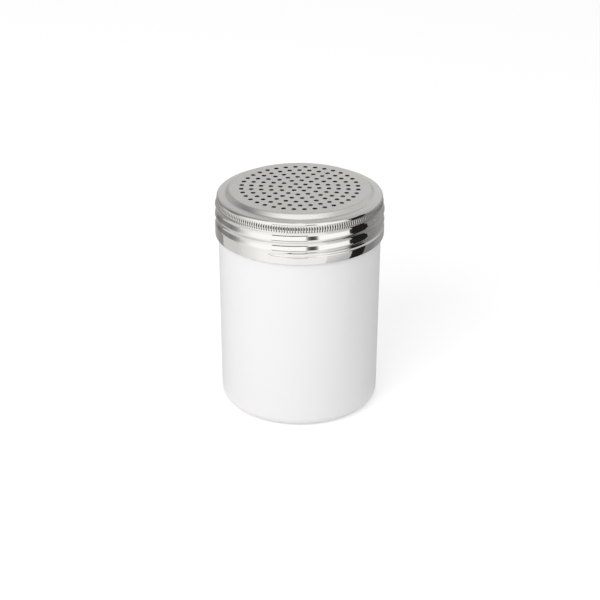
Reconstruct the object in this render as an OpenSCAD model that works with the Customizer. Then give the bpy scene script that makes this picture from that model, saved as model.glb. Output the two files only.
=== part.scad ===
// Screw-top dredger: a moulded plastic cup with a pressed steel lid full of holes.
// Millimetres, +Z up, origin at the middle of the foot. The front is -Y, and
// angles round the axis are counted from the front, turning towards +X.

/* [Lid] */
// Outside diameter of the lid's skirt
lid_d = 70; // [50:0.5:100]
// Thickness of the lid's sheet metal
sheet_t = 0.4; // [0.3:0.05:0.6]
// Height of the lid, from its lower edge to its flat top
lid_h = 19.4; // [17:0.1:30]
// Height of the lowest band of the skirt
rim_h = 1; // [0.6:0.1:2]
// Radius of the rounded edge of the flat top
top_edge_r = 1; // [0.6:0.1:1.2]
// How far the flat top stands above the shoulder
top_rise = 1.8; // [1.4:0.1:2.4]
// Slope of the wall between the flat top and the shoulder, in degrees
rise_slope = 45; // [38:1:60]
// Width of the shoulder, from that wall to the bend
shoulder_w = 2.3; // [1.6:0.1:4]
// Slope of the shoulder, in degrees
shoulder_slope = 6; // [2:1:12]
// Radius of the bend between the shoulder and the knurled band
shoulder_r = 1.2; // [0.9:0.1:1.5]

/* [Holes] */
// Diameter of one hole
hole_d = 1.9; // [1:0.1:2.5]
// Distance from one ring of holes to the next
hole_pitch = 4; // [3:0.1:6]
// Least width left plain between the holes and the edge of the flat top
hole_margin = 2.5; // [1:0.1:6]
// Turn of the whole pattern, in degrees
hole_turn = -5.5; // [-30:0.5:30]

/* [Knurled band] */
// Number of teeth
knurl_teeth = 200; // [60:10:220]
// Depth of the teeth
knurl_depth = 0.25; // [0.15:0.05:0.4]
// Height of the band
knurl_h = 2.4; // [1.5:0.1:4]
// How far the teeth stay inside the skirt's radius
knurl_inset = 0.5; // [0.3:0.05:0.8]

/* [Screw thread] */
// Rise of the thread in one turn
thread_pitch = 4.3; // [3.5:0.1:5]
// Depth of the groove rolled into the lid
groove_depth = 0.8; // [0.5:0.05:1]
// Angle at which the groove starts, counted from the front, in degrees
groove_start = -30; // [-180:5:180]
// Angle over which the thread fades in and out, in degrees
thread_fade = 30; // [15:5:60]
// Height of the plain skirt below the thread
skirt_h = 3.2; // [3:0.1:8]
// Gap between the lid's groove and the root of the cup's thread
root_gap = 0.45; // [0.3:0.05:0.6]
// Gap between the crest of the cup's thread and the lid
crest_gap = 0.3; // [0.25:0.05:0.4]

/* [Cup] */
// Height of the cup that shows below the lid
cup_show_h = 75; // [40:1:150]
// Gap between the lid's skirt and the cup
skirt_gap = 0.9; // [0.7:0.1:2]
// How much smaller the cup's radius is at its foot than under the lid
cup_draft = 0.5; // [0.1:0.1:2]
// Thickness of the cup's wall at the neck
cup_wall = 2; // [1.2:0.1:3]
// Thickness of the cup's floor
floor_t = 2.5; // [1.8:0.1:4]
// Radius of the cup's bottom corner
corner_r = 4.5; // [3:0.5:8]
// Radius of the corner inside the cup, round its floor
inner_corner_r = 2.5; // [1:0.5:5]
// Depth of the recess under the cup
foot_recess = 1; // [0.5:0.1:1.5]
// Width of the flat ring that the cup stands on
foot_w = 3; // [2:0.5:6]
// Radius of the outer edge of the cup's rim
rim_edge = 0.5; // [0.3:0.1:0.8]
// Gap between the cup's rim and the inside of the lid
seat_gap = 0.1; // [0.05:0.05:0.3]

/* [Hidden] */

steel = [0.78, 0.78, 0.77];
white = [0.95, 0.95, 0.94];
round_fn = 180;
arc_steps = 8;

// Holes in the first ring, and how many more each further ring has
ring_holes = 6;
hole_fn = 24;

// The crown and the threaded wall reach this far into the knurled band, which
// stands proud of both their faces there
joint_lap = 0.3;
joint_skin = 0.06;

// Lid radii
lid_r = lid_d / 2;
lid_inner_r = lid_r - sheet_t;
knurl_r = lid_r - knurl_inset;
knurl_root_r = knurl_r - knurl_depth;
band_r = knurl_root_r - joint_skin;

// Lid heights
lid_top_z = cup_show_h + lid_h;
rim_top_z = cup_show_h + rim_h;
thread_bottom_z = cup_show_h + skirt_h;
valley_z = lid_top_z - top_rise;

// Corners of the crown's outline, from the knurled band inwards
bend_r = band_r - shoulder_r;
shoulder_end_r = bend_r + shoulder_r * sin(shoulder_slope);
shoulder_end_z = valley_z - shoulder_w * tan(shoulder_slope);
bend_z = shoulder_end_z - shoulder_r * cos(shoulder_slope);
valley_r = shoulder_end_r - shoulder_w;
slope_end_z = lid_top_z - top_edge_r + top_edge_r * cos(rise_slope);
slope_end_r = valley_r - (slope_end_z - valley_z) / tan(rise_slope);
top_r = slope_end_r - top_edge_r * sin(rise_slope);
knurl_bottom_z = bend_z - knurl_h;

hole_rings = floor((top_r - hole_margin - hole_d / 2) / hole_pitch);

// The groove climbs from the skirt and runs out a little past the knurled band
thread_top_z = knurl_bottom_z;
blend_h = 0.9;
groove_lift = 0.49;
groove_start_z = thread_bottom_z + groove_lift;
groove_run_out = 0.1;
groove_turns = (thread_top_z - groove_start_z) / thread_pitch + groove_run_out;
groove_end = groove_start + 360 * groove_turns;
wall_rows = 18;
wall_columns = 72;

// The cup's ridge lies half a pitch above the groove, and ends below the band
ridge_lag = 20;
ridge_share = 0.8;
ridge_sink = 0.12;
ridge_root = 0.3;
ridge_top_z = thread_top_z - (ridge_share * thread_pitch + blend_h) / 2;
ridge_start = groove_start + ridge_lag;
ridge_end = groove_start + 360 * ((ridge_top_z - groove_start_z) / thread_pitch - 0.5);
ridge_points = 6;
ridge_turn_step = 5;
ridge_steps = ceil((ridge_end - ridge_start) / ridge_turn_step);

// Cup radii and heights
cup_top_r = lid_inner_r - skirt_gap;
cup_foot_r = cup_top_r - cup_draft;
neck_r = lid_inner_r - groove_depth - root_gap;
neck_taper_h = 1;
ridge_r = lid_inner_r - crest_gap;
cavity_r = neck_r - cup_wall;
cavity_foot_r = cavity_r - cup_draft;
foot_inner_r = cup_foot_r - corner_r - foot_w;
cavity_z = foot_recess + floor_t;
rim_z = valley_z - sheet_t / cos(shoulder_slope)
    - (neck_r - rim_edge - valley_r) * tan(shoulder_slope) - seat_gap;

// Points of an arc round (r, z), from one angle to the other
function arc(r, z, radius, from, to) = [
    for (i = [0 : arc_steps])
        let (a = from + (to - from) * i / arc_steps)
        [r + radius * cos(a), z + radius * sin(a)]
];

// Unit normal, to the left, of the step from one point to the next
function left(a, b) = let (d = b - a) [-d[1], d[0]] / norm(d);

// An outline moved sideways by a distance, its corners kept sharp
function shifted(p, by) = [
    for (i = [0 : len(p) - 1])
        let (
            before = left(p[max(i - 1, 0)], p[max(i, 1)]),
            after = left(p[min(i, len(p) - 2)], p[min(i + 1, len(p) - 1)])
        )
        p[i] + (before + after) / (1 + before * after) * by
];

function reversed(p) = [for (i = [len(p) - 1 : -1 : 0]) p[i]];

// A point at an angle from the front
function polar(r, a, z) = [r * sin(a), -r * cos(a), z];

// A smooth step from 0 to 1
function smooth(x) = let (t = min(max(x, 0), 1)) t * t * (3 - 2 * t);

// A rounded hump, 1 in the middle and 0 half a pitch away
function hump(off) = abs(off) < 0.5 ? (1 + cos(360 * off)) / 2 : 0;

// 1 along the thread, falling to 0 at both ends
function fade(a, from, to) = smooth((a - from) / thread_fade) * smooth((to - a) / thread_fade);

// The groove's depth at a place on the lid: each turn of the helix is tried
function groove_at(a, z) = groove_depth * max([
    for (turn = [-1 : ceil(groove_turns)])
        let (
            along = a + 360 * turn,
            off = (z - groove_start_z) / thread_pitch - (along - groove_start) / 360
        )
        hump(off) * fade(along, groove_start, groove_end)
]);

// Outside radius of the lid's threaded wall, plain at its top and bottom
function wall_r(a, z) =
    let (groove = groove_at(a, z) * smooth((z - thread_bottom_z) / blend_h))
    band_r + (lid_r - band_r - groove) * smooth((thread_top_z - z) / blend_h);

// The groups of faces of a tube that a grid of points makes: lower and upper
// rings of the outside, then of the inside
function tube_faces(rows, columns) =
    let (at = function(side, row, col) (side * (rows + 1) + row) * columns + col % columns)
    concat(
        [for (row = [0 : rows - 1]) for (col = [0 : columns - 1]) each [
            [at(0, row, col), at(0, row + 1, col), at(0, row, col + 1)],
            [at(0, row, col + 1), at(0, row + 1, col), at(0, row + 1, col + 1)],
            [at(1, row, col), at(1, row, col + 1), at(1, row + 1, col)],
            [at(1, row, col + 1), at(1, row + 1, col + 1), at(1, row + 1, col)]
        ]],
        [for (col = [0 : columns - 1]) each [
            [at(0, 0, col), at(0, 0, col + 1), at(1, 0, col)],
            [at(0, 0, col + 1), at(1, 0, col + 1), at(1, 0, col)],
            [at(0, rows, col), at(1, rows, col), at(0, rows, col + 1)],
            [at(0, rows, col + 1), at(1, rows, col), at(1, rows, col + 1)]
        ]]
    );

// The faces of a bar that a row of sections makes, closed at both ends
function bar_faces(steps, sides) = concat(
    [for (s = [0 : steps - 1]) for (i = [0 : sides - 1])
        let (j = (i + 1) % sides, here = s * sides, next = here + sides)
        each [[here + i, here + j, next + i], [here + j, next + j, next + i]]],
    [[for (i = [sides - 1 : -1 : 0]) i]],
    [[for (i = [0 : sides - 1]) steps * sides + i]]
);

// Every hole of the top, ring by ring, each cut a little past both faces of the sheet
module holes() {
    past = sheet_t;
    for (ring = [0 : hole_rings]) {
        count = max(ring_holes * ring, 1);
        for (i = [0 : count - 1])
            rotate([0, 0, hole_turn + 360 * i / count])
                translate([ring * hole_pitch, 0, lid_top_z - sheet_t - past])
                    cylinder(h = sheet_t + 2 * past, d = hole_d, $fn = hole_fn);
    }
}

// Flat top, shoulder and bend
module crown() {
    outline = concat(
        [[0, lid_top_z]],
        arc(top_r, lid_top_z - top_edge_r, top_edge_r, 90, 90 - rise_slope),
        [[valley_r, valley_z]],
        arc(bend_r, bend_z, shoulder_r, 90 - shoulder_slope, 0),
        [[band_r, bend_z - joint_lap]]
    );
    rotate_extrude($fn = round_fn)
        polygon(concat(outline, reversed(shifted(outline, -sheet_t))));
}

// The knurled band. A tooth has four corners, at equal steps round the band.
module knurl() {
    tooth = [knurl_root_r, knurl_r, knurl_r, knurl_root_r];
    corners = knurl_teeth * len(tooth);
    translate([0, 0, knurl_bottom_z])
        linear_extrude(height = knurl_h)
            difference() {
                polygon([
                    for (i = [0 : corners - 1])
                        let (a = 360 * i / corners, r = tooth[i % len(tooth)])
                        [r * sin(a), -r * cos(a)]
                ]);
                circle(r = band_r - sheet_t - joint_skin, $fn = round_fn);
            }
}

// The plain skirt and the wall above it that carries the rolled groove
module threaded_wall() {
    levels = concat(
        [rim_top_z],
        [for (row = [0 : wall_rows])
            thread_bottom_z + (thread_top_z - thread_bottom_z) * row / wall_rows],
        [thread_top_z + joint_lap]
    );
    points = [
        for (depth = [0, sheet_t])
            for (z = levels)
                for (col = [0 : wall_columns - 1])
                    let (a = groove_start + 360 * col / wall_columns)
                    polar(wall_r(a, z) - depth, a, z)
    ];
    polyhedron(points, tube_faces(len(levels) - 1, wall_columns), convexity = 6);
}

// The cup's thread: a rounded ridge wound round the neck
module neck_ridge() {
    height = ridge_r - neck_r + ridge_sink;
    points = [
        for (s = [0 : ridge_steps])
            let (
                a = ridge_start + (ridge_end - ridge_start) * s / ridge_steps,
                z = groove_start_z + thread_pitch * ((a - groove_start) / 360 + 0.5),
                h = height * fade(a, ridge_start, ridge_end),
                half = thread_pitch * ridge_share / 2
            )
            each [
                polar(neck_r - ridge_root, a, z - half),
                for (i = [0 : ridge_points])
                    let (off = (i / ridge_points - 0.5) * ridge_share)
                    polar(neck_r - ridge_sink + h * hump(off), a, z + off * thread_pitch),
                polar(neck_r - ridge_root, a, z + half)
            ]
    ];
    polyhedron(points, bar_faces(ridge_steps, ridge_points + 3), convexity = 6);
}

// The cup without its thread
module cup_shell() {
    rotate_extrude($fn = round_fn)
        polygon(concat(
            [[0, foot_recess], [foot_inner_r, foot_recess], [foot_inner_r, 0]],
            arc(cup_foot_r - corner_r, corner_r, corner_r, -90, 0),
            [[cup_top_r, thread_bottom_z - neck_taper_h], [neck_r, thread_bottom_z]],
            arc(neck_r - rim_edge, rim_z - rim_edge, rim_edge, 0, 90),
            [[cavity_r, rim_z]],
            arc(cavity_foot_r - inner_corner_r, cavity_z + inner_corner_r, inner_corner_r, 0, -90),
            [[0, cavity_z]]
        ));
}

module cup() {
    color(white) {
        cup_shell();
        neck_ridge();
    }
}

module screw_lid() {
    color(steel) {
        difference() {
            crown();
            holes();
        }
        knurl();
        threaded_wall();
    }
}

// The lowest band of the skirt, with the rounded edge of the sheet
module lid_rim() {
    edge_r = sheet_t / 2;
    color(steel)
        rotate_extrude($fn = round_fn)
            polygon(concat(
                [[lid_r, rim_top_z], [lid_inner_r, rim_top_z]],
                arc(lid_r - edge_r, cup_show_h + edge_r, edge_r, 180, 360)
            ));
}

cup();
screw_lid();
lid_rim();
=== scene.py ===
# %% [markdown]
# # A screw-top dredger: a white plastic cup under a pressed steel lid
#
# The real object has two pieces. The cup is moulded plastic, and the lid is one
# sheet of stainless steel: punched with holes, pressed to shape, knurled for grip
# and rolled with a screw thread. The measured model already says where everything
# is, so each piece here is built in place, in metres, around that frame.

# %% Load the frame
import math

import bmesh
import bpy
from mathutils import Matrix, Vector


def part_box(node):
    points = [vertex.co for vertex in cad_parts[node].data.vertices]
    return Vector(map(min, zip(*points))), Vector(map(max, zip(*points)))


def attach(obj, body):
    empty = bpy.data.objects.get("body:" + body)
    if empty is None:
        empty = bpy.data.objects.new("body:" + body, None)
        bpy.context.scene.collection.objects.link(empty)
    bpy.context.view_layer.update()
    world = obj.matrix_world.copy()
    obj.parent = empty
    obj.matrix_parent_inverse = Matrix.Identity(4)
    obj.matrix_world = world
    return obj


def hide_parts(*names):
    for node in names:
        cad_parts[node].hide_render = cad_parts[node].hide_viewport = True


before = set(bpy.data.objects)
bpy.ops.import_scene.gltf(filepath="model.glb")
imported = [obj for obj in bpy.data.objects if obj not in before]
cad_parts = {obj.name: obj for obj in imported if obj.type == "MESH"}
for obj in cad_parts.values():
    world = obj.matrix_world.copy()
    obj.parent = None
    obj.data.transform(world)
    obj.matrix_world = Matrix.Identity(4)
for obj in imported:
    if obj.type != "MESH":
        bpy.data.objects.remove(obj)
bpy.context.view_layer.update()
MM = 0.001

# %% [markdown]
# ## Sizes
#
# The overall sizes are read from the frame, so the looks follow the construction.
# What the frame's box can't tell, such as the thickness of the sheet or the slope
# of the shoulder, is written down once here and used by name from then on.

# %% Heights and radii that the frame gives
LID_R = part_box("screw_lid")[1].x
LID_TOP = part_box("screw_lid")[1].z
RIM_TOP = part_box("screw_lid")[0].z
RIM_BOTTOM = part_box("lid_rim")[0].z
CUP_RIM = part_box("cup")[1].z
print(f"lid {2 * LID_R / MM:.1f} mm across, top at {LID_TOP / MM:.1f} mm")

# %% Sizes of the lid's sheet, top and shoulder
SHEET = 0.4 * MM
PLATE_R = 26 * MM
TOP_EDGE_ROUND = 1 * MM
TOP_RISE = 1.8 * MM
RISE_SLOPE = math.radians(45)
VALLEY_R = 30.82 * MM
VALLEY_ROUND = 1.4 * MM
TOP_EDGE_R = VALLEY_R - TOP_RISE / math.tan(RISE_SLOPE)
SHOULDER_SLOPE = math.radians(6)
BAND_R = 34.19 * MM
BEND_ROUND = 1.2 * MM

# %% Sizes of the knurled band and the thread
BAND_TOP = 91.16 * MM
BAND_BOTTOM = 88.76 * MM
TEETH = 200
TOOTH_DEPTH = 0.25 * MM
THREAD_BOTTOM = 78.2 * MM
THREAD_PITCH = 4.3 * MM
GROOVE_DEPTH = 0.8 * MM
GROOVE_LOW = 78.69 * MM
GROOVE_START = math.radians(-30)
GROOVE_TURNS = (BAND_BOTTOM - GROOVE_LOW) / THREAD_PITCH + 0.1

# %% [markdown]
# ## Helpers for modelling by hand
#
# Operators work on whatever is selected, so a script has to say what that is each
# time, just as a hand does with the mouse. The frame's own pieces are selected
# after loading: everything is deselected before anything new is made.


# %% Selecting one object, and edges by their place
def pick(piece):
    bpy.ops.object.select_all(action="DESELECT")
    piece.select_set(True)
    bpy.context.view_layer.objects.active = piece


def select_edges(piece, wanted):
    """Selects, in edit mode, the edges whose middle (radius, height) is wanted."""
    mesh = bmesh.from_edit_mesh(piece.data)
    bpy.ops.mesh.select_mode(type="EDGE")
    bpy.ops.mesh.select_all(action="DESELECT")
    for edge in mesh.edges:
        ends = [Vector((v.co.xy.length, v.co.z)) for v in edge.verts]
        edge.select_set(wanted(ends[0]) and wanted(ends[1]))
    bmesh.update_edit_mesh(piece.data)


# %% [markdown]
# A round piece is turned from an outline, as on a lathe. The outline is a short
# list of corners, each with the radius that rounds it off. `rounded` puts an arc
# in place of each such corner. `turned` then carries a ring of vertices along the
# outline: extrude, move, scale, and again. The Spin tool would do it too, but
# extruded rings keep the seam closed, and each ring is easy to find again.

# %% An outline with rounded corners
ARC_STEP = math.radians(7)


def rounded(corners, step=ARC_STEP):
    """Points of an outline, from corners given as (radius, height, rounding)."""
    outline = []
    for i, (r, z, rounding) in enumerate(corners):
        here = Vector((r, z))
        if not rounding:
            outline.append(here)
            continue
        back = (Vector(corners[i - 1][:2]) - here).normalized()
        ahead = (Vector(corners[i + 1][:2]) - here).normalized()
        half = back.angle(ahead) / 2
        middle = here + (back + ahead).normalized() * rounding / math.sin(half)
        first = here + back * rounding / math.tan(half) - middle
        sweep = (here + ahead * rounding / math.tan(half) - middle).angle_signed(first)
        steps = max(2, math.ceil(abs(sweep) / step))
        for s in range(steps + 1):
            outline.append(middle + Matrix.Rotation(sweep * s / steps, 2) @ first)
    return outline


# %% A ring of vertices carried along an outline
SAME_PLACE = 0.001 * MM


def turned(name, outline, sides, closed=False):
    bpy.ops.object.select_all(action="DESELECT")
    start = outline[0]
    bpy.ops.mesh.primitive_circle_add(vertices=sides, radius=start[0], location=(0, 0, start[1]))
    piece = bpy.context.object
    piece.name = piece.data.name = name
    bpy.ops.object.transform_apply(location=True, rotation=True, scale=True)
    bpy.ops.object.mode_set(mode="EDIT")
    bpy.ops.mesh.select_mode(type="VERT")
    bpy.ops.mesh.select_all(action="SELECT")
    for here, there in zip(outline, outline[1:]):
        grow = there[0] / here[0]
        bpy.ops.mesh.extrude_region_move(
            TRANSFORM_OT_translate={"value": (0, 0, there[1] - here[1])}
        )
        bpy.ops.transform.resize(value=(grow, grow, 1))
    bpy.ops.mesh.select_all(action="SELECT")
    bpy.ops.mesh.remove_doubles(threshold=SAME_PLACE)
    if closed:
        bpy.ops.mesh.select_all(action="DESELECT")
        bpy.ops.mesh.select_non_manifold()
        bpy.ops.mesh.edge_face_add()
        bpy.ops.mesh.select_all(action="SELECT")
        bpy.ops.mesh.normals_make_consistent(inside=False)
    bpy.ops.object.mode_set(mode="OBJECT")
    print(f"{name}: {len(outline)} rings, {len(piece.data.polygons)} faces")
    return piece


# %% [markdown]
# The tools that knurl and roll the sheet press into it from outside. `press` does
# the same to a mesh: it pushes each vertex towards the axis, by a depth that
# depends only on the vertex's angle and height. Angles are counted from the front
# and grow to the right, so a right-hand thread climbs as the angle grows.


# %% Pressing a turned piece in, by a depth that varies round it
def press(piece, depth_at):
    for vertex in piece.data.vertices:
        radius = vertex.co.xy.length
        angle = math.atan2(vertex.co.x, -vertex.co.y)
        share = 1 - depth_at(angle, vertex.co.z) / radius
        vertex.co.x *= share
        vertex.co.y *= share
    piece.data.update()


def smooth(x):
    x = min(max(x, 0), 1)
    return x * x * (3 - 2 * x)


# %% [markdown]
# ## The thread
#
# One groove winds two and a half times round the lid, and a matching ridge winds
# round the cup's neck. A Screw modifier makes a thread of equal turns, but a rolled
# groove fades out at both ends into a plain wall, which it can't do. So the groove
# is a formula, pressed into the turned wall. Its upper flank is short and steep and
# its lower one long and shallow, which is what gives the lid its broad bright bands.

# %% How deep the groove is at any place on the wall
THREAD_FADE = math.radians(30)
LOWER_FLANK = 0.64
HOLLOW_ROUND = 0.4
CREST_ROUND = 0.22
EDGE_BLEND = 0.9 * MM


def flank(x, hollow=HOLLOW_ROUND, crest=CREST_ROUND):
    """From 1 at x = 0 to 0 at x = 1: straight in the middle, and rounded over the
    first and last shares of the way."""
    x = min(max(x, 0), 1)
    slope = 1 / (1 - (hollow + crest) / 2)
    if x < hollow:
        return 1 - slope * x * x / (2 * hollow)
    if x > 1 - crest:
        return slope * (1 - x) ** 2 / (2 * crest)
    return 1 - slope * (x - hollow / 2)


def groove(angle, z):
    """Share of the groove's full depth at an angle and a height, from 0 to 1."""
    deepest = 0
    for turn in range(-1, math.ceil(GROOVE_TURNS) + 1):
        along = angle + math.tau * turn
        off = (z - GROOVE_LOW) / THREAD_PITCH - (along - GROOVE_START) / math.tau
        width = 1 - LOWER_FLANK if off > 0 else LOWER_FLANK
        if abs(off) < width:
            begins = smooth((along - GROOVE_START) / THREAD_FADE)
            ends = smooth((GROOVE_START + math.tau * GROOVE_TURNS - along) / THREAD_FADE)
            deepest = max(deepest, flank(abs(off) / width) * begins * ends)
    return deepest


def wall_depth(angle, z):
    """How far the lid's wall lies inside its widest radius."""
    above = smooth((z - THREAD_BOTTOM) / EDGE_BLEND)
    below = smooth((BAND_BOTTOM - z) / EDGE_BLEND)
    neck = LID_R - BAND_R
    return neck + (GROOVE_DEPTH * groove(angle, z) * above - neck) * below


# %% [markdown]
# ## The lid's flat top
#
# The top is punched while it is still a small flat disc: the Boolean then has few
# faces to cut. One punch is modelled, with the slight flare that a blunt punch
# leaves at the upper edge of a hole, and copied to every place in the pattern: one
# in the middle and six more in each ring than in the ring before.

# %% The blank disc
SIDES = 400
plate = turned("plate", [(PLATE_R, LID_TOP - SHEET), (PLATE_R, LID_TOP)], SIDES, closed=True)

# %% One punch
HOLE_R = 0.95 * MM
HOLE_SIDES = 28
HOLE_FLARE = 0.05 * MM
PUNCH_REACH = 0.3 * MM
punch_outline = [
    (HOLE_R, LID_TOP - SHEET - PUNCH_REACH),
    (HOLE_R, LID_TOP - HOLE_FLARE),
    (HOLE_R + 2 * HOLE_FLARE, LID_TOP + HOLE_FLARE),
]
punch = turned("punch", punch_outline, HOLE_SIDES, closed=True)

# %% A punch at every hole
HOLE_RINGS = 6
HOLE_PITCH = 4 * MM
PATTERN_TURN = math.radians(-5.5)
punches = []
for ring in range(HOLE_RINGS + 1):
    for step in range(max(6 * ring, 1)):
        copy = punch.copy()
        copy.data = punch.data.copy()
        bpy.context.collection.objects.link(copy)
        angle = PATTERN_TURN + math.tau * step / max(6 * ring, 1)
        copy.location = (
            ring * HOLE_PITCH * math.cos(angle),
            ring * HOLE_PITCH * math.sin(angle),
            0,
        )
        punches.append(copy)
bpy.data.objects.remove(punch)
bpy.ops.object.select_all(action="DESELECT")
for copy in punches:
    copy.select_set(True)
bpy.context.view_layer.objects.active = punches[0]
bpy.ops.object.join()
punches = bpy.context.object
bpy.ops.object.transform_apply(location=True, rotation=True, scale=True)
print("holes:", 1 + sum(6 * ring for ring in range(1, HOLE_RINGS + 1)))

# %% Punch the disc, and take away its outer edge
UPRIGHT = 0.5
pick(plate)
cut = plate.modifiers.new("punch_holes", "BOOLEAN")
cut.operation = "DIFFERENCE"
cut.solver = "EXACT"
cut.object = punches
bpy.ops.object.modifier_apply(modifier=cut.name)
bpy.data.objects.remove(punches)
bpy.ops.object.mode_set(mode="EDIT")
bpy.ops.mesh.select_mode(type="FACE")
bpy.ops.mesh.select_all(action="DESELECT")
mesh = bmesh.from_edit_mesh(plate.data)
for face in mesh.faces:
    middle = face.calc_center_median()
    at_edge = middle.xy.length > PLATE_R - HOLE_R
    face.select_set(abs(face.normal.z) < UPRIGHT and at_edge)
bmesh.update_edit_mesh(plate.data)
bpy.ops.mesh.delete(type="FACE")
bpy.ops.object.mode_set(mode="OBJECT")
print("plate:", len(plate.data.polygons), "faces")

# %% [markdown]
# ## The lid's crown, band and wall
#
# From the flat top the sheet drops to a narrow shoulder, bends down and becomes the
# wall. Its inner face follows the outer one at the sheet's thickness. The two faces
# are turned as separate strips. Where a strip needs more vertices than its
# neighbour, as the band of teeth does, the gap between them is bridged.

# %% The crown's outer and inner outlines
SHOULDER_END_Z = LID_TOP - TOP_RISE - (BAND_R - VALLEY_R) * math.tan(SHOULDER_SLOPE)
SEAM = 0.06 * MM
outer_corners = [
    (PLATE_R, LID_TOP, 0),
    (TOP_EDGE_R, LID_TOP, TOP_EDGE_ROUND),
    (VALLEY_R, LID_TOP - TOP_RISE, VALLEY_ROUND),
    (BAND_R, SHOULDER_END_Z, BEND_ROUND),
    (BAND_R, BAND_TOP, 0),
]


def inner_face(corners):
    """Corners of the inner face, whose bends are tighter or wider by the thickness."""
    points = [Vector(corner[:2]) for corner in corners]
    sides = [Vector((a.y - b.y, b.x - a.x)).normalized() for a, b in zip(points, points[1:])]
    inner = []
    for i, (point, corner) in enumerate(zip(points, corners)):
        before, after = sides[max(i - 1, 0)], sides[min(i, len(sides) - 1)]
        place = point - (before + after) / (1 + before.dot(after)) * SHEET
        rounding = corner[2] and corner[2] + math.copysign(SHEET, before.cross(after))
        inner.append((place.x, place.y, rounding))
    return inner


crown = turned("crown", rounded(outer_corners, ARC_STEP), SIDES)
crown_inside = turned("crown_inside", rounded(inner_face(outer_corners), 2 * ARC_STEP), SIDES)

# %% [markdown]
# The band spreads like a cone below the bend and turns in again just above the
# thread, so that it catches the light in two halves. Its teeth are ribs with broad
# crests and narrow valleys. They run out softly at the top, and at the bottom they
# reach a little way onto the wall that spreads below the band. How deep a vertex
# lies in a valley is kept with it, as an attribute, because the valleys are painted
# near black there as painted shade.

# %% The knurled band
TOOTH_STEPS = 8
TOOTH_FLATNESS = 0.42
BAND_SPREAD = 0.32 * MM
BAND_PEAK = BAND_BOTTOM + 0.5 * MM
BAND_FOOT = BAND_BOTTOM - 0.15 * MM
PEAK_ROUND = 0.14
TOP_ROUND = 0.45
TEETH_FADE_TOP = 0.4 * MM
TEETH_FADE_BOTTOM = 0.35 * MM
BAND_ROWS = 18
BAND_START = BAND_TOP - SEAM
TEETH_END = BAND_BOTTOM - 0.62 * MM


def spread(z):
    """How far the band stands out at a height, without its teeth."""
    if z > BAND_PEAK:
        up = (z - BAND_PEAK) / (BAND_START - BAND_PEAK)
        return BAND_SPREAD * flank(up, PEAK_ROUND, TOP_ROUND)
    return BAND_SPREAD * max(0, 1 - ((BAND_PEAK - z) / (BAND_PEAK - BAND_FOOT)) ** 2)


def valley_share(angle, z):
    """From 0 on the crest of a tooth to 1 in the valley between two."""
    across = abs(math.cos(angle * TEETH / 2)) ** TOOTH_FLATNESS
    fade = smooth((BAND_START - z) / TEETH_FADE_TOP) * smooth((z - TEETH_END) / TEETH_FADE_BOTTOM)
    return (1 - across) * fade


def band_depth(angle, z):
    return wall_depth(angle, z) - spread(z) + TOOTH_DEPTH * valley_share(angle, z)


band_levels = [
    BAND_START + (TEETH_END - BAND_START) * row / BAND_ROWS for row in range(BAND_ROWS + 1)
]
band = turned("band", [(LID_R, z) for z in band_levels], TEETH * TOOTH_STEPS)
valleys = band.data.attributes.new("valley", "FLOAT", "POINT")
for vertex, valley in zip(band.data.vertices, valleys.data):
    valley.value = valley_share(math.atan2(vertex.co.x, -vertex.co.y), vertex.co.z)
press(band, band_depth)

# %% The threaded wall and the plain skirt below it
WALL_ROWS = 58
WALL_TOP = TEETH_END - SEAM
wall_outline = [(LID_R, RIM_TOP)] + [
    (LID_R, THREAD_BOTTOM + (WALL_TOP - THREAD_BOTTOM) * row / WALL_ROWS)
    for row in range(WALL_ROWS + 1)
]
wall = turned("wall", wall_outline, SIDES)
press(wall, wall_depth)

# %% The inside of the wall
INSIDE_ROWS = 28
INSIDE_TOP = BAND_BOTTOM - SEAM
inside_outline = [(LID_R, RIM_TOP), (LID_R - SHEET, RIM_TOP)] + [
    (LID_R - SHEET, THREAD_BOTTOM + (INSIDE_TOP - THREAD_BOTTOM) * row / INSIDE_ROWS)
    for row in range(INSIDE_ROWS + 1)
]
wall_inside = turned("wall_inside", inside_outline, SIDES)
press(wall_inside, wall_depth)

# %% [markdown]
# The strips are joined into one object. Rings that lie on each other are merged:
# the crown meets the plate, and the inner wall, which starts with the flat lower
# edge, meets the outer one. The other rings are bridged in pairs. Only rings at
# different heights are bridged, because between two rings in one plane the operator
# can't tell which way round each of them runs.


# %% Join the strips and bridge the gaps
RING_SLACK = 0.005 * MM
STRIP_MERGE = 0.002 * MM


def ring_at(z, low, high):
    """Is a point on the ring at this height, between two radii?"""
    return lambda point: abs(point.y - z) < RING_SLACK and low < point.x < high


def bridge(piece, one, other):
    select_edges(piece, lambda point: one(point) or other(point))
    bpy.ops.mesh.bridge_edge_loops()


lid = plate
pick(lid)
for strip in (crown, crown_inside, band, wall, wall_inside):
    strip.select_set(True)
bpy.ops.object.join()
lid.name = lid.data.name = "pressed_lid"
MID_R = BAND_R - SHEET / 2
bpy.ops.object.mode_set(mode="EDIT")
bpy.ops.mesh.select_all(action="SELECT")
bpy.ops.mesh.remove_doubles(threshold=STRIP_MERGE)
bridge(lid, ring_at(BAND_TOP, MID_R, LID_R), ring_at(BAND_START, MID_R, LID_R))
bridge(lid, ring_at(TEETH_END, MID_R, LID_R), ring_at(WALL_TOP, MID_R, LID_R))
bridge(lid, ring_at(BAND_TOP, 0, MID_R), ring_at(INSIDE_TOP, 0, MID_R))
bpy.ops.mesh.select_all(action="SELECT")
bpy.ops.mesh.normals_make_consistent(inside=False)
bpy.ops.object.mode_set(mode="OBJECT")
print("pressed_lid:", len(lid.data.polygons), "faces")

# %% [markdown]
# The lowest millimetre of the skirt is its own piece, because it rises with the lid
# but doesn't turn with it. It ends in the rounded edge of the trimmed sheet.

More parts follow.
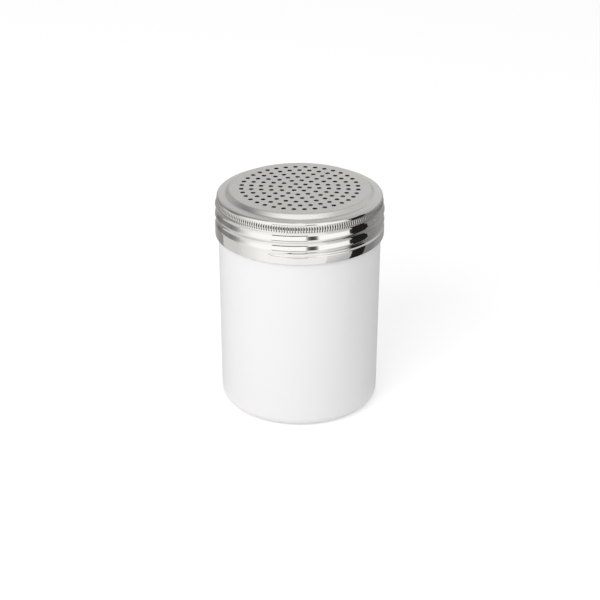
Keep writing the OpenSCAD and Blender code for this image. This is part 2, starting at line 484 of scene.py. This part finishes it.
# %% The skirt's lowest band
HEM_ROUND = 0.49 * SHEET
hem_corners = [
    (LID_R, RIM_TOP, 0),
    (LID_R, RIM_BOTTOM, HEM_ROUND),
    (LID_R - SHEET, RIM_BOTTOM, HEM_ROUND),
    (LID_R - SHEET, RIM_TOP, 0),
]
hem_outline = rounded(hem_corners, 3 * ARC_STEP)
hem = turned("skirt_edge", hem_outline + hem_outline[:1], SIDES)
pick(hem)
bpy.ops.object.mode_set(mode="EDIT")
bpy.ops.mesh.select_all(action="SELECT")
bpy.ops.mesh.normals_make_consistent(inside=False)
bpy.ops.object.mode_set(mode="OBJECT")

# %% [markdown]
# ## The cup
#
# The cup is a plain tapered tube with a soft corner at its foot, standing on a ring
# round a shallow recess. Its neck steps in under the lid and carries the ridge of
# the thread, half a pitch above the lid's groove. The ridge is raised by the same
# kind of formula, with the depth counted outwards.

# %% The cup's outline
CUP_TOP_R = 33.7 * MM
CUP_FOOT_R = 33.2 * MM
CUP_CORNER = 4.5 * MM
FOOT_IN_R = 25.7 * MM
FOOT_RECESS = 1 * MM
FOOT_ROUND = 0.3 * MM
NECK_R = 33.35 * MM
NECK_LEDGE_ROUND = 0.25 * MM
NECK_ROOT_ROUND = 0.2 * MM
NECK_TOP_ROUND = 0.5 * MM
CUP_WALL = 2 * MM
CAVITY_FOOT_R = 30.85 * MM
CAVITY_Z = 3.5 * MM
CAVITY_CORNER = 2.5 * MM
NECK_STEP = 1 * MM
NECK_ROWS = 54
CENTRE_R = 1 * MM
neck_levels = [
    THREAD_BOTTOM + (CUP_RIM - NECK_TOP_ROUND - THREAD_BOTTOM) * row / NECK_ROWS
    for row in range(1, NECK_ROWS)
]
cup_corners = [
    (CENTRE_R, FOOT_RECESS, 0),
    (FOOT_IN_R, FOOT_RECESS, FOOT_ROUND),
    (FOOT_IN_R, 0, FOOT_ROUND),
    (CUP_FOOT_R, 0, CUP_CORNER),
    (CUP_TOP_R, THREAD_BOTTOM - NECK_STEP, NECK_LEDGE_ROUND),
    (NECK_R, THREAD_BOTTOM, NECK_ROOT_ROUND),
    *[(NECK_R, z, 0) for z in neck_levels],
    (NECK_R, CUP_RIM, NECK_TOP_ROUND),
    (NECK_R - CUP_WALL, CUP_RIM, NECK_TOP_ROUND),
    (CAVITY_FOOT_R, CAVITY_Z, CAVITY_CORNER),
    (CENTRE_R, CAVITY_Z, 0),
]

# %% Turn the cup
CUP_SIDES = 256
cup = turned("moulded_cup", rounded(cup_corners), CUP_SIDES, closed=True)

# %% Raise the thread's ridge on its neck
RIDGE_HEIGHT = 0.95 * MM
RIDGE_LAG = math.radians(20)
RIDGE_SHARE = 0.8
RIDGE_TOP = BAND_BOTTOM - (RIDGE_SHARE * THREAD_PITCH + EDGE_BLEND) / 2
RIDGE_START = GROOVE_START + RIDGE_LAG
RIDGE_END = GROOVE_START + math.tau * ((RIDGE_TOP - GROOVE_LOW) / THREAD_PITCH - 0.5)


def ridge_height(angle, z):
    highest = 0
    for turn in range(-1, math.ceil(GROOVE_TURNS) + 1):
        along = angle + math.tau * turn
        off = (z - GROOVE_LOW) / THREAD_PITCH - (along - GROOVE_START) / math.tau - 0.5
        if abs(off) < RIDGE_SHARE / 2:
            begins = smooth((along - RIDGE_START) / THREAD_FADE)
            ends = smooth((RIDGE_END - along) / THREAD_FADE)
            hump = (1 + math.cos(math.tau * off / RIDGE_SHARE)) / 2
            highest = max(highest, RIDGE_HEIGHT * hump * begins * ends)
    return highest


neck_inside = NECK_R - CUP_WALL / 2
for vertex in cup.data.vertices:
    if vertex.co.z > THREAD_BOTTOM and vertex.co.xy.length > neck_inside:
        angle = math.atan2(vertex.co.x, -vertex.co.y)
        share = 1 + ridge_height(angle, vertex.co.z) / vertex.co.xy.length
        vertex.co.x *= share
        vertex.co.y *= share

# %% [markdown]
# Smooth shading hides the facets of round walls, but it must stop at real edges,
# such as the mouths of the holes. Shading by angle does both.

# %% Smooth the round surfaces
SHARP_EDGE = math.radians(32)
for piece in (lid, hem, cup):
    pick(piece)
    bpy.ops.object.shade_smooth_by_angle(angle=SHARP_EDGE)
    print(piece.name, sum(len(p.vertices) - 2 for p in piece.data.polygons), "triangles")

# %% [markdown]
# ## Finishes
#
# Steel and plastic differ in what their nodes vary. Steel is all reflection: its
# wall is polished like a mirror, with faint lines round it from the polishing
# wheel, while the flat top keeps the satin skin of the rolled sheet. Roughness and
# bump carry all of that. The colour stays one value, except for painted shade: the
# valleys between the teeth and the walls of the holes are painted near black.
# White plastic is nearly plain: a soft gloss that varies a little, and a very fine
# grain from the mould.


# %% Helpers for building node trees
def new_finish(name):
    material = bpy.data.materials.new(name)
    material.use_nodes = True
    tree = material.node_tree
    return material, tree, tree.nodes["Principled BSDF"]


def add_node(tree, kind, **settings):
    """A node, with its properties or input sockets set by name."""
    node = tree.nodes.new(kind)
    for key, value in settings.items():
        if hasattr(node, key):
            setattr(node, key, value)
        else:
            node.inputs[key.replace("_", " ").title()].default_value = value
    return node


def link(tree, source, target):
    tree.links.new(source, target)


# %% Steel: the parts of its pattern
STEEL_COLOUR = (0.8, 0.785, 0.76, 1)
POLISHED = 0.07
SATIN = 0.36
SHOULDER_SATIN = 0.2
SATIN_R = TOP_EDGE_R - 1 * MM
POLISH_START_R = BAND_R - 1.6 * MM
POLISH_END_R = BAND_R - 0.3 * MM


def radius_of(tree, place):
    """Distance from the axis, worked out from Object coordinates."""
    flat = add_node(tree, "ShaderNodeVectorMath", operation="MULTIPLY")
    flat.inputs[1].default_value = (1, 1, 0)
    link(tree, place.outputs["Object"], flat.inputs[0])
    length = add_node(tree, "ShaderNodeVectorMath", operation="LENGTH")
    link(tree, flat.outputs[0], length.inputs[0])
    return length.outputs["Value"]


def ramp(tree, source, low, high, at_low, at_high):
    """A value that runs smoothly from at_low to at_high while source goes from low to high."""
    node = add_node(tree, "ShaderNodeMapRange", interpolation_type="SMOOTHSTEP")
    for socket, value in zip(list(node.inputs)[1:5], (low, high, at_low, at_high)):
        socket.default_value = value
    link(tree, source, node.inputs["Value"])
    return node.outputs["Result"]


def speckle(tree, place, stretch, scale, detail=3):
    """Noise on Object coordinates that are stretched along X, Y and Z first."""
    mapping = add_node(tree, "ShaderNodeMapping")
    mapping.inputs["Scale"].default_value = stretch
    link(tree, place.outputs["Object"], mapping.inputs["Vector"])
    noise = add_node(tree, "ShaderNodeTexNoise")
    noise.inputs["Scale"].default_value = scale
    noise.inputs["Detail"].default_value = detail
    link(tree, mapping.outputs["Vector"], noise.inputs["Vector"])
    return noise.outputs["Fac"]


def bump(tree, height, distance, strength, below=None):
    node = add_node(tree, "ShaderNodeBump")
    node.inputs["Distance"].default_value = distance
    node.inputs["Strength"].default_value = strength
    link(tree, height, node.inputs["Height"])
    if below:
        link(tree, below, node.inputs["Normal"])
    return node.outputs["Normal"]


def combine(tree, operation, one, other):
    node = add_node(tree, "ShaderNodeMath", operation=operation)
    for socket, value in zip(node.inputs, (one, other)):
        if isinstance(value, float):
            socket.default_value = value
        else:
            link(tree, value, socket)
    return node.outputs["Value"]


# %% Steel
steel, tree, shader = new_finish("stainless_steel")
shader.inputs["Base Color"].default_value = STEEL_COLOUR
shader.inputs["Metallic"].default_value = 1
place = add_node(tree, "ShaderNodeTexCoord")
radius = radius_of(tree, place)
on_top = ramp(tree, radius, SATIN_R, VALLEY_R, SATIN, SHOULDER_SATIN)
on_wall = ramp(tree, radius, POLISH_START_R, POLISH_END_R, 0.0, 1.0)
top_share = combine(tree, "SUBTRACT", 1.0, on_wall)
satin = combine(tree, "MULTIPLY", on_top, top_share)
mirror = combine(tree, "MULTIPLY", on_wall, POLISHED)
cloud = speckle(tree, place, (1, 1, 1), 120)
varied = ramp(tree, cloud, 0.3, 0.7, 0.9, 1.12)
roughness = combine(tree, "MULTIPLY", combine(tree, "ADD", satin, mirror), varied)
link(tree, roughness, shader.inputs["Roughness"])
lines = speckle(tree, place, (0.03, 0.03, 1), 5200, detail=2)
grain = speckle(tree, place, (1, 1, 1), 2600, detail=2)
waves = speckle(tree, place, (1, 1, 1.6), 75, detail=1)
normal = bump(tree, waves, 0.03 * MM, 0.5)
normal = bump(tree, lines, 0.002 * MM, 0.35, below=normal)
normal = bump(tree, grain, 0.004 * MM, 0.4, below=normal)
link(tree, normal, shader.inputs["Normal"])

# %% The valleys between the teeth, painted near black as painted shade
# This near-black colour is painted shade in the valleys, not a colour of the steel.
VALLEY_SHADE_COLOUR = (0.07, 0.066, 0.062, 1)
valley = add_node(tree, "ShaderNodeAttribute", attribute_name="valley")
valley_shade_share = ramp(tree, valley.outputs["Fac"], 0.08, 0.65, 0.0, 1.0)
valley_shade_mix = add_node(tree, "ShaderNodeMix", data_type="RGBA")
link(tree, valley_shade_share, valley_shade_mix.inputs["Factor"])
colours = [socket for socket in valley_shade_mix.inputs if socket.type == "RGBA"]
colours[0].default_value = STEEL_COLOUR
colours[1].default_value = VALLEY_SHADE_COLOUR
mixed = [socket for socket in valley_shade_mix.outputs if socket.type == "RGBA"]
link(tree, mixed[0], shader.inputs["Base Color"])
print("stainless_steel:", len(tree.nodes), "nodes")

# %% The walls of the holes: torn and not polished, and painted near black as painted shade
hole_wall_shade_finish, tree, shader = new_finish("hole_wall_painted_shade")
shader.inputs["Metallic"].default_value = 1
place = add_node(tree, "ShaderNodeTexCoord")
tear = speckle(tree, place, (1, 1, 0.2), 3500, detail=2)
link(tree, ramp(tree, tear, 0.3, 0.7, 0.3, 0.5), shader.inputs["Roughness"])
link(tree, bump(tree, tear, 0.01 * MM, 0.5), shader.inputs["Normal"])
# The near-black base colour is painted shade inside the holes; the torn roughness and bump are
# the steel's own.
shader.inputs["Base Color"].default_value = (0.022, 0.021, 0.02, 1)
print("hole_wall_painted_shade:", len(tree.nodes), "nodes")

# %% White plastic
PLASTIC_COLOUR = (0.915, 0.905, 0.91, 1)
plastic, tree, shader = new_finish("white_plastic")
shader.inputs["Base Color"].default_value = PLASTIC_COLOUR
shader.inputs["Specular IOR Level"].default_value = 0.35
place = add_node(tree, "ShaderNodeTexCoord")
cloud = speckle(tree, place, (1, 1, 0.5), 60)
link(tree, ramp(tree, cloud, 0.3, 0.7, 0.4, 0.5), shader.inputs["Roughness"])
grain = speckle(tree, place, (1, 1, 1), 3000, detail=2)
flow = speckle(tree, place, (1, 1, 0.35), 55, detail=1)
normal = bump(tree, flow, 0.02 * MM, 0.3)
normal = bump(tree, grain, 0.006 * MM, 0.3, below=normal)
link(tree, normal, shader.inputs["Normal"])
print("white_plastic:", len(tree.nodes), "nodes")

# %% Dress the pieces and join them to the frame
for piece, finish, body, node, slot in (
    (cup, plastic, "cup", "cup", "white_plastic"),
    (lid, steel, "lid", "screw_lid", "steel"),
    (hem, steel, "lid_lift", "lid_rim", "steel"),
):
    piece.data.materials.clear()
    piece.data.materials.append(finish)
    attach(piece, body)
    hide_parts(node)

# %% Give the walls of the holes their own finish, which carries the painted shade
STEEP = 0.9
lid.data.materials.append(hole_wall_shade_finish)
in_holes = 0
for face in lid.data.polygons:
    if face.center.xy.length < PLATE_R and abs(face.normal.z) < STEEP:
        face.material_index = 1
        in_holes += 1
print("faces in the holes:", in_holes)

# %% [markdown]
# ## The camera
#
# The camera was worked out from the photograph by fitting the rings of holes, the
# lid's edges and the cup's outline. It looks down by 25 degrees with a long lens,
# from straight in front, and its roll is a fifth of a degree.

# %% Camera
CAMERA_BACK = 0.6
CAMERA_UP = 0.2325
CAMERA_SIDE = 0.00023
CAMERA_PITCH = math.radians(25.3)
CAMERA_ROLL = math.radians(0.19)
FOCAL_PIXELS = 1565
PICTURE_PIXELS = 600
camera_data = bpy.data.cameras.new("camera")
camera = bpy.data.objects.new("camera", camera_data)
bpy.context.collection.objects.link(camera)
camera_data.sensor_width = 36
camera_data.lens = camera_data.sensor_width * FOCAL_PIXELS / PICTURE_PIXELS
aim = Matrix.Rotation(math.pi / 2 - CAMERA_PITCH, 4, "X") @ Matrix.Rotation(CAMERA_ROLL, 4, "Z")
place_of_camera = Matrix.Translation((CAMERA_SIDE, -CAMERA_BACK, LID_TOP + CAMERA_UP))
camera.matrix_world = place_of_camera @ aim
bpy.context.scene.camera = camera
print(f"lens {camera_data.lens:.1f} mm")

# %% [markdown]
# ## The studio
#
# Plastic shows light, and steel shows what stands around it. So there are two sets
# of things here. One broad soft lamp lights the cup from the front left, and leaves
# its right side a little darker. For the steel, plain cards stand where the
# photograph's reflections say something stood. Only reflections see the cards, so
# they don't stain the white plastic or show in the picture.
#
# A card is placed by what mirrors it. Seen from the camera, the lid's upright wall
# at an angle of 20 degrees shows what lies 40 degrees to the right, about as far
# below the horizon as the camera is above it. Where the sheet leans back, it shows
# what is higher up. So a card is given by the wall angles that mirror it and by its
# lowest and highest elevation, and its brightness may change along it.


# %% Helpers for the studio
def toward(azimuth, elevation=0.0):
    """A direction, with azimuth counted from the front and growing to the right."""
    a, e = math.radians(azimuth), math.radians(elevation)
    return Vector((math.sin(a) * math.cos(e), -math.cos(a) * math.cos(e), math.sin(e)))


# %% A glow whose strength is kept in the card's mesh
card_glow = bpy.data.materials.new("card_glow")
card_glow.use_nodes = True
tree = card_glow.node_tree
tree.nodes.remove(tree.nodes["Principled BSDF"])
light = add_node(tree, "ShaderNodeEmission")
level = add_node(tree, "ShaderNodeAttribute", attribute_name="level")
link(tree, level.outputs["Fac"], light.inputs["Strength"])
link(tree, light.outputs[0], tree.nodes["Material Output"].inputs["Surface"])

# %% A card that only reflections see
WALL_MIDDLE_Z = 82 * MM
CARD_STEP = 2
CARD_ROW = 6
OVER_FLOOR = 1 * MM


def mirrored(wall_angle):
    """A place on the lid's wall, and the level direction in which it looks."""
    normal = toward(wall_angle)
    place = normal * LID_R + Vector((0, 0, WALL_MIDDLE_Z))
    sight = (place - place_of_camera.translation).normalized().reflect(normal)
    return place, Vector((sight.x, sight.y, 0)).normalized()


def level_at(stops, wall_angle, share):
    """The level at a wall angle, from stops of (wall angle, level below, level above)."""
    for (start, *first), (end, *second) in zip(stops, stops[1:]):
        if wall_angle <= end:
            part = (wall_angle - start) / (end - start)
            low, high = (a + (b - a) * part for a, b in zip(first, second))
            return low + (high - low) * share
    return stops[-1][1] + (stops[-1][2] - stops[-1][1]) * share


def card(name, elevations, reach, stops):
    low, high = elevations
    start, end = stops[0][0], stops[-1][0]
    bpy.ops.object.select_all(action="DESELECT")
    bpy.ops.mesh.primitive_grid_add(
        x_subdivisions=math.ceil((end - start) / CARD_STEP),
        y_subdivisions=math.ceil((high - low) / CARD_ROW),
        size=1,
    )
    piece = bpy.context.object
    piece.name = piece.data.name = name
    levels = piece.data.attributes.new("level", "FLOAT", "POINT")
    for vertex, level in zip(piece.data.vertices, levels.data):
        wall_angle = start + (end - start) * (vertex.co.x + 0.5)
        share = vertex.co.y + 0.5
        level.value = level_at(stops, wall_angle, share)
        place, way = mirrored(wall_angle)
        rise = math.radians(low + (high - low) * share)
        way = way * math.cos(rise) + Vector((0, 0, math.sin(rise)))
        length = min(reach, (place.z - OVER_FLOOR) / -way.z) if way.z < 0 else reach
        vertex.co = place + way * length
    piece.data.materials.append(card_glow)
    for seen_by in ("camera", "diffuse", "shadow", "transmission", "volume_scatter"):
        setattr(piece, "visible_" + seen_by, False)
    print(f"{name}: wall angles {start} to {end}, elevations {low} to {high}")


# %% Dark things: a black flag at the right, and what stood round the camera
FLAG_REACH = 0.4
STAND_REACH = 0.45
BLACK = 0.014
card("black_flag_low", (-50, 2), FLAG_REACH, [(35.3, BLACK, BLACK), (47.2, BLACK, BLACK)])
card("black_flag_high", (2, 36), FLAG_REACH, [(33.5, BLACK, BLACK), (48.8, BLACK, BLACK)])
card("horizon_strip", (-1, 8), STAND_REACH, [(-18, BLACK, BLACK), (5, BLACK, BLACK)])
card("horizon_haze", (-8, -1), STAND_REACH, [(-18, 0.95, 0.35), (5, 0.95, 0.35)])
stand = [
    (3.4, 1.1, 1.1), (4.4, 0.6, 0.08), (6, 0.08, 0.08), (10, 0.08, 0.08), (11.4, 0.6, 0.08),
    (12.4, 1.1, 1.1),
]
card("camera_stand", (12, 36), STAND_REACH, stand)

# %% The floor round the dredger, as the polished wall shows it
FLOOR_REACH = 0.5
near_floor = [
    (-90, 0.45, 0.45), (-70, 0.45, 0.42), (-62, 0.7, 0.6), (-55, 0.8, 0.8), (-40, 0.9, 0.9),
    (-20, 1.08, 1.1), (0, 1.05, 1.04), (15, 0.88, 0.95), (34, 0.8, 0.75), (48, 0.68, 0.66),
    (55, 0.5, 0.4), (70, 0.4, 0.36), (90, 0.5, 0.45),
]
far_left = [
    (-90, 0.5, 0.5), (-80, 0.53, 0.45), (-75, 0.46, 0.35), (-70, 0.43, 0.3), (-62, 0.37, 0.28),
]
floor_left = [(-62, 0.8, 0.65), (-45, 0.78, 0.72), (-42, 0.85, 0.8)]
floor_middle = [
    (-42, 0.85, 0.8), (-40, 0.88, 0.85), (-30, 0.97, 1.1), (-25, 1.1, 1.15), (-10, 1.1, 1.12),
    (0, 1.03, 1.08), (17.5, 1.02, 1.02),
]
floor_right = [(17.5, 0.62, 0.95), (25, 0.5, 0.85), (30, 0.44, 0.75), (35.3, 0.43, 0.65)]
far_right = [
    (47.2, 0.22, 0.26), (55, 0.2, 0.28), (60, 0.3, 0.33), (66, 0.37, 0.35), (75, 0.34, 0.36),
    (80, 0.42, 0.45), (90, 0.5, 0.6),
]
card("near_floor", (-84, -50), FLOOR_REACH, near_floor)
card("floor_far_left", (-50, -8), FLOOR_REACH, far_left)
card("floor_left", (-50, -8), FLOOR_REACH, floor_left)
card("floor_middle", (-50, 8), FLOOR_REACH, floor_middle)
card("floor_right", (-50, 8), FLOOR_REACH, floor_right)
card("floor_far_right", (-50, 2), FLOOR_REACH, far_right)

# %% What stands higher up: grey at both sides, and a white front
SIDE_REACH = 0.8
left_low = [
    (-90, 0.6, 0.62), (-80, 0.45, 0.58), (-72, 0.2, 0.46), (-66, 0.17, 0.38), (-62, 0.2, 0.35),
    (-55, 0.3, 0.25), (-50, 0.33, 0.2), (-46, 0.45, 0.3), (-42, 0.65, 0.55),
]
left_high = [
    (-90, 0.68, 0.5), (-80, 0.62, 0.42), (-72, 0.5, 0.4), (-62, 0.43, 0.4), (-58, 0.28, 0.35),
    (-54, 0.16, 0.3), (-48, 0.16, 0.35), (-44, 0.35, 0.5), (-42, 0.6, 0.6),
]
front = [
    (-42, 0.6, 0.5), (-37, 0.95, 0.66), (-33, 1.2, 0.8), (-26, 1.24, 1.1), (20, 1.24, 1.05),
    (28, 1.2, 1.0), (33.5, 1.15, 0.75),
]
right_low = [
    (33.5, 0.3, 0.5), (50, 0.24, 0.5), (58, 0.3, 0.6), (66, 0.36, 0.64), (72, 0.5, 0.66),
    (80, 0.6, 0.66), (90, 0.66, 0.68),
]
right_high = [
    (33.5, 0.72, 0.7), (50, 0.66, 0.6), (62, 0.66, 0.4), (72, 0.66, 0.32), (80, 0.66, 0.35),
    (90, 0.68, 0.5),
]
card("side_left_low", (-8, 12), SIDE_REACH, left_low)
card("side_left_high", (12, 70), SIDE_REACH, left_high)
card("front_white", (8, 80), SIDE_REACH, front)
card("side_right_low", (2, 22), SIDE_REACH, right_low)
card("side_right_high", (22, 70), SIDE_REACH, right_high)
card("ceiling_left", (70, 88), SIDE_REACH, [(-90, 0.45, 0.6), (-60, 0.4, 0.6)])
card("ceiling_right", (70, 88), SIDE_REACH, [(60, 0.4, 0.6), (90, 0.45, 0.6)])

# %% The floor
def direct_rays(tree):
    """1 for rays of the camera, of a reflection or through glass, and 0 for the rest."""
    path = add_node(tree, "ShaderNodeLightPath")
    seen = combine(tree, "MAXIMUM", path.outputs["Is Camera Ray"], path.outputs["Is Glossy Ray"])
    return combine(tree, "MAXIMUM", seen, path.outputs["Is Transmission Ray"])


FLOOR_SIZE = 6
FLOOR_GLOW = 0.37
bpy.ops.object.select_all(action="DESELECT")
bpy.ops.mesh.primitive_plane_add(size=FLOOR_SIZE)
floor = bpy.context.object
floor.name = floor.data.name = "studio_floor"
paper, tree, shader = new_finish("white_paper")
shader.inputs["Base Color"].default_value = (0.86, 0.86, 0.86, 1)
shader.inputs["Roughness"].default_value = 1
shader.inputs["Specular IOR Level"].default_value = 0
lift = combine(tree, "MULTIPLY", direct_rays(tree), FLOOR_GLOW)
shader.inputs["Emission Color"].default_value = (1, 1, 1, 1)
link(tree, lift, shader.inputs["Emission Strength"])
floor.data.materials.append(paper)
print(f"floor: {FLOOR_SIZE} m across")

# %% The white surroundings, which light the plastic less than they look
SURROUND_LIGHT = 0.64
bpy.context.scene.view_settings.view_transform = "Standard"
world = bpy.data.worlds.new("studio")
bpy.context.scene.world = world
world.use_nodes = True
tree = world.node_tree
surround = tree.nodes["Background"]
surround.inputs["Color"].default_value = (1, 1, 1, 1)
strength = ramp(tree, direct_rays(tree), 0, 1, SURROUND_LIGHT, 1.0)
link(tree, strength, surround.inputs["Strength"])

# %% The lamp
AIM_HEIGHT = 0.05


def softbox(name, azimuth, elevation, distance, size, power):
    data = bpy.data.lights.new(name, "AREA")
    data.shape = "SQUARE"
    data.size = size
    data.energy = power
    lamp = bpy.data.objects.new(name, data)
    bpy.context.collection.objects.link(lamp)
    way = toward(azimuth, elevation)
    lamp.location = Vector((0, 0, AIM_HEIGHT)) + way * distance
    lamp.rotation_mode = "QUATERNION"
    lamp.rotation_quaternion = way.to_track_quat("Z", "Y")
    lamp.visible_glossy = False
    print(f"{name}: {power} W at {distance} m")


softbox("front_left_softbox", azimuth=-29, elevation=30, distance=1.4, size=1.0, power=7.8)
